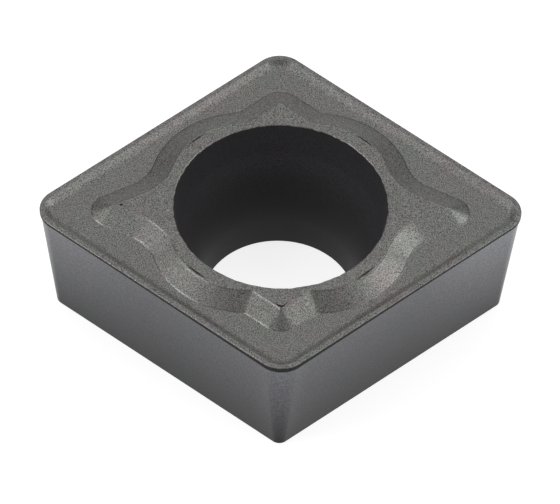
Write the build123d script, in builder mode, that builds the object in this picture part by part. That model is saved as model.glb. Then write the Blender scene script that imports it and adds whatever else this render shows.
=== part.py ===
from build123d import *
import math
import os

# A four-cornered turning insert: an 80 degree rhombus of sintered carbide with
# relieved flanks, a pressed chipbreaker on its upper face and a countersunk bore
# for the clamping screw.  Millimetres, +Z up, origin on the seat face under the
# bore, +X through one of the two 80 degree noses.

# the blank
inscribed = 9.525        # circle inscribed in the cutting edges
nose_angle = 80          # angle of the two acute corners, degrees
nose_radius = 0.8        # all four corners, at the cutting edge
edge_height = 3.97       # seat face up to the cutting edge
relief = 7               # lean of the flanks, degrees

# the cutting edge
bead_out = 0.03          # how far the edge stands proud of the flank below it
bead_height = 0.08       # height of that proud band
hone = 0.035             # rounding of the cutting edge itself
land = 0.13              # level strip behind the edge
rake_run = 0.30          # width of the slope behind the land
rake_drop = 0.055        # how far that slope falls

# the raised island of the chipbreaker
island_rise = 0.235      # valley floor up to the top of the island
wall_run = 0.61          # width of the island's sloping wall
point_gap = 1.07         # cutting edge to the foot of the blunt V points
point_radius = 0.09      # rounding of those points at the top
ring = 0.52              # level strip between the mouth and the top of each lobe
lobe_x = 0.99            # centres of the four lobes, one towards each edge
lobe_y = 1.03
finger_reach = 5.47      # tip of each finger that points into a nose
tip_radius = 0.02        # rounding of that tip at the top
finger_angle = 28        # each finger side to the X axis, degrees
hollow_radius = 1.90     # hollow between finger and lobe, at the top

# the bore
bore = 4.40              # through diameter for the clamping screw
bore_length = 1.00       # straight length above the seat face
mouth = 6.18             # diameter at the top of the island
mouth_depth = 0.90       # nearly straight entry
mouth_taper = 9          # lean of the entry's wall, degrees
seat_radius = 5.0        # swell of the seat for the screw's head
bore_break = 0.06        # rounding where the bore meets the seat face
mouth_break = 0.05       # rounding of the mouth

# a short crescent that the press leaves between each lobe and the mouth
nick_gap = 0.09          # in from the top of the lobe's wall
nick_width = 0.07
nick_arc = 15            # angle each one spans, degrees

half = math.radians(nose_angle / 2)
side = math.radians(finger_angle)
floor_z = edge_height - rake_drop
top_z = floor_z + island_rise
root = 0.01              # the island's wall starts this far below the valley floor
lobe_radius = mouth / 2 + ring - math.hypot(lobe_x, lobe_y)


def rhombus(inset):
    """The sharp rhombus whose sides lie inset within the cutting edges."""
    reach = inscribed / 2 - inset
    Polyline((reach / math.sin(half), 0), (0, reach / math.cos(half)),
             (-reach / math.sin(half), 0), (0, -reach / math.cos(half)), close=True)


# the raised island of the chipbreaker, standing on the valley floor
with BuildPart() as island:
    # its top: lobes, fingers and V points, with hollows beside the fingers
    tip_x = finger_reach - wall_run
    side_x = tip_x - tip_radius * (1 - math.sin(side))
    side_y = tip_radius * math.cos(side)
    root_y = side_y + (side_x - lobe_x) * math.tan(side)
    point_y = (inscribed / 2 - point_gap - wall_run) / math.cos(half)
    shoulder_y = point_y - 2 * lobe_x * math.tan(half)
    top_plane = Plane.XY.offset(top_z)
    with BuildSketch(top_plane) as outline:
        with GridLocations(2 * lobe_x, 2 * lobe_y, 2, 2):
            Circle(lobe_radius)
        with BuildLine():
            ThreePointArc((side_x, -side_y), (tip_x, 0), (side_x, side_y))
            Polyline((side_x, side_y), (lobe_x, root_y), (-lobe_x, root_y), (-side_x, side_y))
            ThreePointArc((-side_x, side_y), (-tip_x, 0), (-side_x, -side_y))
            Polyline((-side_x, -side_y), (-lobe_x, -root_y), (lobe_x, -root_y), (side_x, -side_y))
        make_face()
        with BuildLine():
            Polyline((0, point_y), (2 * lobe_x, shoulder_y), (2 * lobe_x, -shoulder_y),
                     (0, -point_y), (-2 * lobe_x, -shoulder_y), (-2 * lobe_x, shoulder_y),
                     close=True)
        make_face()
        # outward from the middle: points, creases beside them, hollows, finger tips
        hollows = outline.vertices().group_by(lambda v: round(abs(v.X), 4))[2]
        fillet(hollows, hollow_radius)
        points = outline.vertices().group_by(lambda v: round(abs(v.X), 4))[0]
        fillet(points, point_radius)

    # the wall spreads as it falls, so round corners become cones and creases stay sharp
    extrude(amount=-island_rise - root)
    wall = faces().filter_by(Axis.Z, reverse=True)
    draft(wall, top_plane, math.degrees(math.atan2(wall_run, island_rise)))


# the insert: blank, tray, island, bore
with BuildPart() as insert:
    # the flanks, then the proud band on them: both lean in from the edge's plane
    edge_plane = Plane.XY.offset(edge_height)
    for inset, depth in ((bead_out, edge_height), (0, bead_height)):
        with BuildSketch(edge_plane):
            with BuildLine():
                rhombus(inset)
            make_face()
            fillet(vertices(), nose_radius - inset)
        extrude(amount=-depth)
        sides = faces(Select.LAST).filter_by(Axis.Z, reverse=True)
        draft(sides, edge_plane, -relief)
    fillet(faces().sort_by(Axis.Z)[-1].edges(), hone)

    # the tray: a rake face falls from the land to the valley floor
    with BuildSketch(edge_plane):
        with BuildLine():
            rhombus(land)
        make_face()
        fillet(vertices(), nose_radius - land)
    extrude(amount=-rake_drop, taper=math.degrees(math.atan2(rake_run, rake_drop)), mode=Mode.SUBTRACT)

    add(island.part)

    # the bore: nearly straight mouth, swelling screw seat, straight length
    mouth_z = top_z - mouth_depth
    throat = mouth / 2 - mouth_depth * math.tan(math.radians(mouth_taper))
    with BuildSketch(Plane.XZ):
        with BuildLine():
            Polyline((throat, mouth_z), (mouth / 2, top_z), (0, top_z), (0, 0),
                     (bore / 2, 0), (bore / 2, bore_length))
            RadiusArc((bore / 2, bore_length), (throat, mouth_z), seat_radius)
        make_face()
    revolve(axis=Axis.Z, mode=Mode.SUBTRACT)
    seat_face = faces().sort_by(Axis.Z)[0]
    fillet(seat_face.edges().filter_by(GeomType.CIRCLE).sort_by(SortBy.RADIUS)[-1], bore_break)
    top_face = faces().filter_by(GeomType.PLANE).sort_by(Axis.Z)[-1]
    fillet(top_face.edges().filter_by(GeomType.CIRCLE).sort_by(SortBy.RADIUS)[-1], mouth_break)

    # the crescents, one inside each lobe
    nick_r = mouth / 2 + ring - nick_gap
    toward = math.degrees(math.atan2(lobe_y, lobe_x))
    for azimuth in (toward, 180 - toward, 180 + toward, -toward):
        with BuildSketch(Plane.XZ.rotated((0, 0, azimuth - nick_arc / 2))):
            with Locations((nick_r, top_z)):
                Circle(nick_width / 2)
        revolve(axis=Axis.Z, revolution_arc=nick_arc, mode=Mode.SUBTRACT)

insert.part.label = "insert"
os.makedirs("parts", exist_ok=True)
export_step(insert.part, "parts/insert.step")
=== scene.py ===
import math

import bmesh
import bpy
from mathutils import Matrix, Vector, noise


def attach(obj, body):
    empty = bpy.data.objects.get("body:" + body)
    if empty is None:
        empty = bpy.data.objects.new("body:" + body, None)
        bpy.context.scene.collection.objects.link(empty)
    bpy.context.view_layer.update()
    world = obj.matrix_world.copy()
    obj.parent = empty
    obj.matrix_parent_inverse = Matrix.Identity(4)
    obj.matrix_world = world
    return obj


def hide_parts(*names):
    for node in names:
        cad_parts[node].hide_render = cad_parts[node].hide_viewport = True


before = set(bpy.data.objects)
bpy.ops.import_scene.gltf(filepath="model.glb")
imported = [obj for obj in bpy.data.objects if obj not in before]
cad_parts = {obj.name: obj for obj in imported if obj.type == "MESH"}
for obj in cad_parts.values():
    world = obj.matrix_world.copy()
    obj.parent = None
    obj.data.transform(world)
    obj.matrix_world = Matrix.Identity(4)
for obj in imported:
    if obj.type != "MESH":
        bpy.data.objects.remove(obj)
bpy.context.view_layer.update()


# ---------------------------------------------------------------- flanks and edge
# A turning insert: tungsten carbide powder and cobalt, pressed in one stroke and
# sintered. Its outside is an 80 degree rhombus whose flanks lean in 7 degrees below
# a proud, honed cutting edge; inside the edge a rake face falls to a valley.
inscribed = 9.525
nose_half = math.radians(40)
nose_radius = 0.8
edge_height = 3.97
relief = math.tan(math.radians(7))
bead_out = 0.03
bead_height = 0.08
band_line = 0.03
hone = 0.038
land = 0.155
land_ease = 0.025
rake_knee = 0.36
knee_rise = 0.006
knee_ease = 0.080
rake_drop = 0.095
floor_z = edge_height - rake_drop
tray_inset = 0.479
seat_break = 0.03
seat_margin = 0.10
weld = 1e-4
support = 1.15


def sweep(bm, vert, centre, degrees, steps):
    """Carries a vertex round a centre, drawing an arc, and returns its last point."""
    arc = bmesh.ops.spin(bm, geom=[vert], cent=(centre[0], centre[1], vert.co.z),
                         axis=(0, 0, 1), angle=math.radians(degrees), steps=steps)
    return [v for v in arc["geom_last"] if isinstance(v, bmesh.types.BMVert)][0]


def draw(bm, vert, x, y, steps):
    """Carries a vertex along a straight line, in shorter steps near its ends."""
    start = vert.co.copy()
    goal = Vector((x, y, start.z))
    for step in range(1, steps + 1):
        vert = bmesh.ops.extrude_vert_indiv(bm, verts=[vert])["verts"][0]
        vert.co = start.lerp(goal, 0.5 - 0.5 * math.cos(math.pi * step / steps))
    return vert


def close_ring(bm, before):
    """Mirrors a quarter of an outline to the other three, and returns the ring's edges."""
    for axis in "XY":
        verts = [v for v in bm.verts if v not in before]
        edges = [e for e in bm.edges if e.verts[0] not in before]
        bmesh.ops.mirror(bm, geom=verts + edges, axis=axis, merge_dist=weld)
    return [e for e in bm.edges if e.verts[0] not in before]


def rhombus_ring(bm, inset, z):
    """A rhombus with rounded noses, inset within the cutting edges."""
    before = set(bm.verts)
    radius = nose_radius - inset
    reach = inscribed / 2 - nose_radius
    nose = reach / math.sin(nose_half)
    corner = reach / math.cos(nose_half)
    vert = bm.verts.new((nose + radius, 0, z))
    turn = math.degrees(nose_half)
    side_x = radius * math.sin(nose_half)
    side_y = corner + radius * math.cos(nose_half)
    vert = sweep(bm, vert, (nose, 0), 90 - turn, steps=14)
    vert = draw(bm, vert, side_x, side_y, steps=14)
    vert = sweep(bm, vert, (0, corner), turn, steps=12)
    vert.co.x = 0
    return close_ring(bm, before)


def eased(corners, steps=5):
    """Points along a section: each corner is (across, height, length of its rounding).

    A support point stands a little way beyond either end of a rounding.
    """
    points = []
    last = len(corners) - 1
    for n, (across, height, ease) in enumerate(corners):
        here = Vector((across, height))
        if ease == 0 or n in (0, last):
            points.append(here)
            continue
        back = (Vector(corners[n - 1][:2]) - here).normalized() * ease
        on = (Vector(corners[n + 1][:2]) - here).normalized() * ease
        points.append(here + support * back)
        for step in range(steps + 1):
            t = step / steps
            points.append(here + back * (1 - t) ** 2 + on * t ** 2)
        points.append(here + support * on)
    return points


def skin(bm, make_ring, points):
    """Bridges the rings that stand at the points of a section; returns the end rings."""
    lift = 9
    rings = [make_ring(bm, point.x, point.y) for point in points]
    for one, two in zip(rings, rings[1:]):
        # level rings would be joined crosswise, so the second is lifted meanwhile
        verts = list({v for e in two for v in e.verts})
        bmesh.ops.translate(bm, vec=(0, 0, lift), verts=verts)
        bmesh.ops.bridge_loops(bm, edges=one + two)
        bmesh.ops.translate(bm, vec=(0, 0, -lift), verts=verts)
    return rings[0], rings[-1]


# from the seat face up the flank, over the proud band and the edge, down to the valley
body = bmesh.new()
bead_z = edge_height - bead_height
foot_inset = bead_out + edge_height * relief
outside = eased([
    (foot_inset + seat_margin, 0, 0),
    (foot_inset, 0, seat_break),
    (bead_out + (bead_height + band_line) * relief, bead_z - band_line, 0),
    (bead_out + bead_height * relief, bead_z, 0),
    (bead_height * relief, bead_z, 0),
    (0, edge_height, hone),
    (land, edge_height, land_ease),
    (rake_knee, floor_z + knee_rise, knee_ease),
    (tray_inset, floor_z, 0),
])
seat_rim, tray_rim = skin(body, rhombus_ring, outside)

# Under the edge runs a dark line of painted shade, for the shadow under the proud band:
# thin along the sides and fuller round the blunt corners, where it also reaches higher
# up the hone and dips lower down the flank.
top_finish, flank_finish, painted_shade_finish, bore_finish = range(4)
blunt_y = 5.5
blunt_share = 0.4
side_share = 0.6
level = 0.8
line_drop = 0.025
dip_depth = 0.06
dip_start = 1.5
dip_run = 4.3
dip_power = 1.6
least = 0.004
body.normal_update()
for face in body.faces:
    middle = face.calc_center_median()
    share = blunt_share if abs(middle.y) > blunt_y else side_share
    if middle.z < bead_z - band_line:
        face.material_index = flank_finish
    elif abs(face.normal.z) < level and middle.z < edge_height - hone * share:
        face.material_index = painted_shade_finish
for vert in body.verts:
    lined = any(face.material_index == painted_shade_finish for face in vert.link_faces)
    if lined and vert.co.z < bead_z + least:
        along = max(0, (abs(vert.co.y) - dip_start) / dip_run)
        vert.co.z -= line_drop + dip_depth * along ** dip_power


# ------------------------------------------------------------- chipbreaker island
# The punch leaves a low island on the upper face: four round lobes, a finger into
# each acute nose and a blunt V point to each of the other corners, all with a
# sloping wall whose foot and brow are softened by the punch's own polish.
island_rise = 0.275
wall_run = 0.645
lip_run = 0.03
lip_rise = 0.03
lip_ease = 0.016
foot_margin = 0.03
brow_margin = 0.023
point_gaps = (1.15, 1.07)
point_foot = 0.70
lobe_x = 0.99
lobe_y = 1.03
lobe_foot = 2.791
tip_foot = 0.63
finger_side = math.radians(28)
side_foot = 2.902
hollow_foot = 1.29
top_z = floor_z + island_rise
mouth = 6.18


def island_quarter(bm, inset, z, point_gap):
    """A quarter of the island's outline, inset within the foot of its wall."""
    lobe = Vector((lobe_x, lobe_y))
    side = Vector((math.sin(finger_side), math.cos(finger_side)))
    along = Vector((side.y, -side.x))
    off = side_foot + hollow_foot - side.dot(lobe)
    hollow = lobe + side * off + along * math.sqrt((lobe_foot + hollow_foot) ** 2 - off ** 2)

    # the finger: its tip, its side, and the hollow beside it
    tip_radius = max(tip_foot - inset, least)
    tip = (side_foot - inset - tip_radius) / side.x
    vert = bm.verts.new((tip + tip_radius, 0, z))
    lean = math.degrees(finger_side)
    vert = sweep(bm, vert, (tip, 0), 90 - lean, steps=10)
    bank = hollow - side * (hollow_foot + inset)
    vert = draw(bm, vert, bank.x, bank.y, steps=8)
    toward = math.degrees(math.atan2(lobe.y - hollow.y, lobe.x - hollow.x)) % 360
    vert = sweep(bm, vert, hollow, toward - (270 - lean), steps=16)

    # the lobe, the crease beside it, and the V point
    face = Vector((math.sin(nose_half), math.cos(nose_half)))
    radius = lobe_foot - inset
    reach = inscribed / 2 - point_gap - inset
    off = reach - face.dot(lobe)
    run_in = math.sqrt(radius ** 2 - off ** 2)
    crease = lobe + face * off + Vector((-face.y, face.x)) * run_in
    end = math.degrees(math.atan2(crease.y - lobe.y, crease.x - lobe.x))
    vert = sweep(bm, vert, lobe, end - (toward - 180), steps=26)
    point_radius = max(point_foot - inset, least)
    point = (reach - point_radius) / face.y
    vert = draw(bm, vert, face.x * point_radius, point + face.y * point_radius, steps=6)
    vert = sweep(bm, vert, (0, point), math.degrees(nose_half), steps=8)
    vert.co.x = 0


def island_ring(bm, inset, z):
    """The island's whole outline: the point towards the front is a little shorter."""
    before = set(bm.verts)
    for point_gap in point_gaps:
        made = [v for v in bm.verts if v not in before]
        bmesh.ops.scale(bm, vec=(1, -1, 1), verts=made)
        island_quarter(bm, inset, z, point_gap)
    half = [v for v in bm.verts if v not in before]
    bmesh.ops.remove_doubles(bm, verts=half, dist=weld)
    half = [v for v in bm.verts if v not in before]
    edges = [e for e in bm.edges if e.verts[0] not in before]
    bmesh.ops.mirror(bm, geom=half + edges, axis="X", merge_dist=weld)
    return [e for e in bm.edges if e.verts[0] not in before]


# the wall steepens at its foot and again at its brow
wall = eased([
    (-foot_margin, floor_z, 0),
    (0, floor_z, lip_ease),
    (lip_run, floor_z + lip_rise, lip_ease),
    (wall_run - lip_run, top_z - lip_rise, lip_ease),
    (wall_run, top_z, lip_ease),
    (wall_run + brow_margin, top_z, 0),
])
foot_rim, brow_rim = skin(body, island_ring, wall)
bmesh.ops.triangle_fill(body, use_beauty=True, edges=tray_rim + foot_rim)


# ------------------------------------------------------------------ screw hole
# A countersunk through hole for the clamping screw, pressed with the rest: a nearly
# straight mouth, a swelling seat for the screw's head and a straight bore.
bore = 4.40
bore_length = 1.00
mouth_depth = 0.90
mouth_taper = math.tan(math.radians(9))
seat_radius = 5.0
throat = mouth / 2 - mouth_depth * mouth_taper
throat_z = top_z - mouth_depth
mouth_break = 0.045
mouth_margin = 0.12
bore_break = 0.05
bore_margin = 0.15
swell_steps = 12
bore_finish_top = top_z - 0.02


def hole_points():
    """The hole's section, from the upper face down to the seat face, as (radius, height)."""
    upper = eased([(mouth / 2 + mouth_margin, top_z, 0), (mouth / 2, top_z, mouth_break),
                   (throat, throat_z, 0)])
    low = Vector((bore / 2, bore_length))
    high = Vector((throat, throat_z))
    chord = high - low
    away = Vector((chord.y, -chord.x)).normalized()
    depth = math.sqrt(seat_radius ** 2 - chord.length_squared / 4)
    centre = (low + high) / 2 + away * depth
    swell = []
    for step in range(1, swell_steps):
        ray = high.lerp(low, step / swell_steps) - centre
        swell.append(centre + ray.normalized() * seat_radius)
    lower = eased([(bore / 2, bore_length, 0), (bore / 2, 0, bore_break),
                   (bore / 2 + bore_margin, 0, 0)])
    return upper + swell + lower


path = [body.verts.new((point.x, 0, point.y)) for point in hole_points()]
path_edges = [body.edges.new(pair) for pair in zip(path, path[1:])]
before = set(body.verts) - set(path)
bmesh.ops.spin(body, geom=path + path_edges, cent=(0, 0, 0), axis=(0, 0, 1),
               angle=2 * math.pi, steps=240, use_merge=True)
hole_edges = [e for e in body.edges if e.verts[0] not in before and e.is_boundary]
for face in body.faces:
    if face.verts[0] not in before and face.calc_center_median().z < bore_finish_top:
        face.material_index = bore_finish
mouth_rim = [e for e in hole_edges if e.verts[0].co.z > bore_length]
seat_hole = [e for e in hole_edges if e.verts[0].co.z < bore_length]
bmesh.ops.triangle_fill(body, use_beauty=True, edges=seat_rim + seat_hole)


# ------------------------------------------------------------------ punch marks
# Small marks that pressing leaves on the island's top: a crescent between each lobe
# and the mouth, a smile behind the front point and a dimple on either finger.
nick_gap = 0.42
nick_r = mouth / 2 + nick_gap
nick_azimuth = 46.1
tear_seed = 3
tear_size = 0.2
tear_depth = 0.03
tear_reach = 0.06
tear_height = 0.2
sharp_angle = math.radians(32)


def dent(bm, x, y, length, width, angle, depth, bow=0, finish=top_finish):
    """A shallow dent on the island's top, bowed if asked; returns its rim."""
    before = set(bm.faces)
    ring = bmesh.ops.create_circle(bm, segments=28, radius=0.5)["verts"]
    turned = Matrix.Rotation(math.radians(angle), 3, "Z")
    for vert in ring:
        across = vert.co.x * width
        along = vert.co.y * length
        across -= along * along * bow
        vert.co = turned @ Vector((across, along, 0)) + Vector((x, y, top_z))
    rim = list({e for v in ring for e in v.link_edges})
    edges = rim
    for sink, shrink in ((0.35, 0.86), (0.85, 0.55), (1.0, 0.25)):
        grown = bmesh.ops.extrude_edge_only(bm, edges=edges)["geom"]
        verts = [g for g in grown if isinstance(g, bmesh.types.BMVert)]
        edges = [g for g in grown if isinstance(g, bmesh.types.BMEdge)]
        edges = [e for e in edges if e.verts[0] in verts and e.verts[1] in verts]
        centre = sum((v.co for v in verts), Vector()) / len(verts)
        for vert in verts:
            vert.co = centre + (vert.co - centre) * shrink
            vert.co.z = top_z - depth * sink
    bmesh.ops.triangle_fill(bm, use_beauty=True, edges=edges)
    for face in set(bm.faces) - before:
        face.material_index = finish
    return rim


marks = []
for nick_angle in (nick_azimuth, 180 - nick_azimuth, 180 + nick_azimuth, 360 - nick_azimuth):
    way = math.radians(nick_angle)
    nick = Vector((math.cos(way), math.sin(way))) * nick_r
    marks += dent(body, nick.x, nick.y, length=0.74, width=0.062, angle=nick_angle,
                  depth=0.052, bow=0.5 / nick_r)
# the smile and the left dimple take the near-black finish: painted shade in their hollows
marks += dent(body, 0, -3.785, length=0.34, width=0.07, angle=90, depth=0.05, bow=-5,
              finish=painted_shade_finish)
marks += dent(body, -4.60, 0.01, length=0.07, width=0.11, angle=0, depth=0.04,
              finish=painted_shade_finish)
marks += dent(body, 4.06, 0.22, length=0.12, width=0.12, angle=0, depth=0.03)
bmesh.ops.triangle_fill(body, use_beauty=True, edges=brow_rim + mouth_rim + marks)

# the rim of the mouth is a little ragged, as powder tears from the core rod
for vert in body.verts:
    radius = math.hypot(vert.co.x, vert.co.y)
    if abs(radius - mouth / 2) < tear_reach and vert.co.z > top_z - tear_height:
        spot = Vector((vert.co.x / tear_size, vert.co.y / tear_size, tear_seed))
        tear = noise.noise(spot) * tear_depth
        vert.co.x *= 1 + tear / radius
        vert.co.y *= 1 + tear / radius

# Up to here lengths are in millimetres. The mesh goes to metres a hair small, so that
# its outermost points don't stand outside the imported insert's box.
mm = 0.001
across = 0.9996 * mm
tall = 0.9999 * mm
bmesh.ops.remove_doubles(body, verts=body.verts[:], dist=weld)
bmesh.ops.recalc_face_normals(body, faces=body.faces[:])
bmesh.ops.scale(body, vec=(across, across, tall), verts=body.verts[:])
body_mesh = bpy.data.meshes.new("carbide_insert")
body.to_mesh(body_mesh)
body.free()
body_mesh.shade_smooth()
body_mesh.set_sharp_from_angle(angle=sharp_angle)
insert = bpy.data.objects.new("carbide_insert", body_mesh)
bpy.context.collection.objects.link(insert)


# ------------------------------------------------------------------ the coating
# Coated cemented carbide: a few microns of dark nitride laid on fine sintered grain,
# wet-blasted to a satin. It shows as a dark grey with a fine speckle and soft sheen.
grain_size = 0.03 * mm
grain_depth = 0.01 * mm
cloud_size = 1.1 * mm


def linear(text):
    """An sRGB hex colour as Blender's linear one."""
    parts = [int(text[n:n + 2], 16) / 255 for n in (1, 3, 5)]
    return [p / 12.92 if p <= 0.04045 else ((p + 0.055) / 1.055) ** 2.4 for p in parts] + [1]


def node(tree, kind, settings=None, **links):
    """Adds a node with its settings, and fills or links its sockets.

    A socket is given by its name, or as i0, i1 and so on by its place.
    """
    made = tree.nodes.new(kind)
    for name, value in (settings or {}).items():
        setattr(made, name, value)
    for name, value in links.items():
        placed = name[0] == "i" and name[1:].isdigit()
        socket = made.inputs[int(name[1:]) if placed else name.replace("_", " ")]
        if isinstance(value, bpy.types.NodeSocket):
            tree.links.new(value, socket)
        else:
            socket.default_value = value
    return made


def coat(name, dark, light, wash=None, metallic=1.0, roughness=0.34):
    """One finish of the coating: grain between two greys, clouded faintly warm and green."""
    material = bpy.data.materials.new(name)
    material.use_nodes = True
    tree = material.node_tree
    tree.nodes.clear()
    place = node(tree, "ShaderNodeTexCoord").outputs["Object"]
    # the real grain is a few microns across, so it is drawn coarser to be seen at all
    grain = node(tree, "ShaderNodeTexNoise", Vector=place, Scale=1 / grain_size, Detail=2.0)
    tone = node(tree, "ShaderNodeValToRGB", Fac=grain.outputs["Fac"])
    tone.color_ramp.elements[0].position = 0.3
    tone.color_ramp.elements[0].color = linear(dark)
    tone.color_ramp.elements[1].position = 0.7
    tone.color_ramp.elements[1].color = linear(light)
    cloud = node(tree, "ShaderNodeTexNoise", Vector=place, Scale=1 / cloud_size, Detail=2.0)
    tint = node(tree, "ShaderNodeValToRGB", Fac=cloud.outputs["Fac"])
    tint.color_ramp.elements[0].position = 0.35
    tint.color_ramp.elements[0].color = linear("#fffafa")
    tint.color_ramp.elements[1].position = 0.65
    tint.color_ramp.elements[1].color = linear("#f9fdf9")
    multiply = {"data_type": "RGBA", "blend_type": "MULTIPLY"}
    colour = node(tree, "ShaderNodeMix", multiply, i0=1.0, i6=tone.outputs["Color"],
                  i7=tint.outputs["Color"]).outputs[2]
    if wash:
        colour = node(tree, "ShaderNodeMix", multiply, i0=1.0, i6=colour,
                      i7=wash(tree, place)).outputs[2]
    bump = node(tree, "ShaderNodeBump", Strength=0.1, Distance=grain_depth,
                Height=grain.outputs["Fac"])
    shade = node(tree, "ShaderNodeBsdfPrincipled", Base_Color=colour, Metallic=metallic,
                 Roughness=roughness, Normal=bump.outputs["Normal"])
    node(tree, "ShaderNodeOutputMaterial", Surface=shade.outputs["BSDF"])
    return material


def flank_painted_shade(tree, place):
    """Painted shade and light on the flank: it darkens toward the seat, for the card's contact
    shadow seen in its sheen, and lightens at the noses and the blunt corners, for light from
    the card.
    """
    nose_x = 6.6 * mm
    axes = node(tree, "ShaderNodeSeparateXYZ", Vector=place)
    height = node(tree, "ShaderNodeMapRange", Value=axes.outputs["Z"], From_Min=0.0,
                  From_Max=edge_height * mm, To_Min=0.22, To_Max=1.80)
    along = node(tree, "ShaderNodeMapRange", Value=axes.outputs["X"], From_Min=-nose_x,
                 From_Max=nose_x)
    side = node(tree, "ShaderNodeValToRGB", Fac=along.outputs[0])
    side.color_ramp.interpolation = "EASE"
    side.color_ramp.elements[0].color = linear("#e6e6e6")
    side.color_ramp.elements[1].color = linear("#ffffff")
    for position, grey in ((0.24, "#bfbfbf"), (0.44, "#bfbfbf"), (0.50, "#dedede"),
                           (0.56, "#bfbfbf"), (0.76, "#c4c4c4")):
        side.color_ramp.elements.new(position).color = linear(grey)
    return node(tree, "ShaderNodeVectorMath", {"operation": "SCALE"}, Vector=side.outputs[0],
                Scale=height.outputs[0]).outputs[0]


def bore_painted_shade(tree, place):
    """Painted shade in the hole: the bore darkens from its mouth down to its straight length.
    """
    axes = node(tree, "ShaderNodeSeparateXYZ", Vector=place)
    return node(tree, "ShaderNodeMapRange", Value=axes.outputs["Z"], From_Min=1.6 * mm,
                From_Max=2.8 * mm, To_Min=0.35, To_Max=1.0).outputs[0]


# in the order of the finishes' numbers: the island, rake, land and seat face are a
# neutral satin with a lively speckle
body_mesh.materials.append(coat("coated_cemented_carbide", "#343434", "#949391"))
# the flanks are a bluer satin with less speckle, under painted shade toward the seat and
# painted light at the noses
body_mesh.materials.append(coat("coated_carbide_flank", "#3a3a3d", "#6e6e74", flank_painted_shade))
# the line under the edge is painted shade, matt and nearly black, drawn with no metal
# gloss; the smile and the left dimple take it too
body_mesh.materials.append(coat("coated_carbide_painted_shade_line", "#1a1a1c", "#3a3a3d",
                                metallic=0.0, roughness=1.0))
# the bore is a dull near-black, with painted shade darkening it from the mouth downward
body_mesh.materials.append(coat("coated_carbide_bore", "#09080a", "#302d32", bore_painted_shade,
                                metallic=0.0, roughness=0.7))

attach(insert, "root")
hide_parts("insert")


# ------------------------------------------------------------- floor, lamps, camera
# The insert lies on a plain white card in an evenly bright room. Seven round soft
# lamps stand about it, and the camera looks down at one blunt corner from far off.
bpy.ops.mesh.primitive_plane_add(size=1.2)
floor = bpy.context.active_object
floor.name = "white_sheet"
paper = bpy.data.materials.new("white_card")
paper.use_nodes = True
tree = paper.node_tree
tree.nodes.clear()
card = node(tree, "ShaderNodeBsdfDiffuse", Color=linear("#adadad"))
ray = node(tree, "ShaderNodeLightPath")
seen = node(tree, "ShaderNodeMath", {"operation": "ADD"},
            i0=ray.outputs["Is Camera Ray"], i1=ray.outputs["Is Glossy Ray"])
seen = node(tree, "ShaderNodeMath", {"operation": "ADD"},
            i0=seen.outputs[0], i1=ray.outputs["Is Transmission Ray"])
glow = node(tree, "ShaderNodeMath", {"operation": "MULTIPLY"}, i0=seen.outputs[0], i1=0.78)
white = node(tree, "ShaderNodeEmission", Strength=glow.outputs[0])
sheet = node(tree, "ShaderNodeAddShader", i0=card.outputs["BSDF"], i1=white.outputs["Emission"])
node(tree, "ShaderNodeOutputMaterial", Surface=sheet.outputs["Shader"])
floor.data.materials.append(paper)


def lamp(name, azimuth, elevation, size, power):
    """A round soft lamp aimed at the insert."""
    lamp_distance = 0.5
    az = math.radians(azimuth)
    el = math.radians(elevation)
    way = Vector((math.cos(az) * math.cos(el), math.sin(az) * math.cos(el), math.sin(el)))
    light = bpy.data.lights.new(name, "AREA")
    light.shape = "DISK"
    light.size = size
    light.energy = power
    holder = bpy.data.objects.new(name, light)
    holder.location = way * lamp_distance
    holder.rotation_euler = way.to_track_quat("Z", "Y").to_euler()
    bpy.context.collection.objects.link(holder)


lamp("right_lamp", 31, 57, 0.24, 0.17)
lamp("low_right_lamp", 20, 42, 0.30, 0.36)
lamp("front_right_lamp", -32, 33, 0.30, 0.28)
lamp("left_lamp", 150, 58, 0.30, 0.22)
lamp("low_left_lamp", 190, 40, 0.30, 0.70)
lamp("back_lamp", 90, 52, 0.46, 0.27)
lamp("low_back_lamp", 90, 8, 0.40, 0.115)
world = bpy.data.worlds.new("studio")
bpy.context.scene.world = world
world.use_nodes = True
room = world.node_tree.nodes["Background"]
room.inputs["Color"].default_value = linear("#ffffff")
room.inputs["Strength"].default_value = 0.49

azimuth = math.radians(-1.27216)
elevation = math.radians(49.55319)
roll = math.radians(1.37652)
distance = 0.30675425
back = Vector((math.sin(azimuth) * math.cos(elevation),
               -math.cos(azimuth) * math.cos(elevation), math.sin(elevation)))
right = (-back).cross(Vector((0, 0, 1))).normalized()
up = right.cross(-back)
sideways = math.cos(roll) * right + math.sin(roll) * up
upward = -math.sin(roll) * right + math.cos(roll) * up
aim = Vector((-0.02399, -1.58905, edge_height)) * mm
camera_data = bpy.data.cameras.new("camera")
camera_data.sensor_width = 36
camera_data.lens = 685.66
camera_data.clip_start = 0.01
camera_data.clip_end = 100
camera = bpy.data.objects.new("camera", camera_data)
turned = Matrix((sideways, upward, back)).transposed().to_4x4()
camera.matrix_world = Matrix.Translation(aim + back * distance) @ turned
bpy.context.collection.objects.link(camera)
bpy.context.scene.camera = camera
bpy.context.scene.view_settings.view_transform = "Standard"
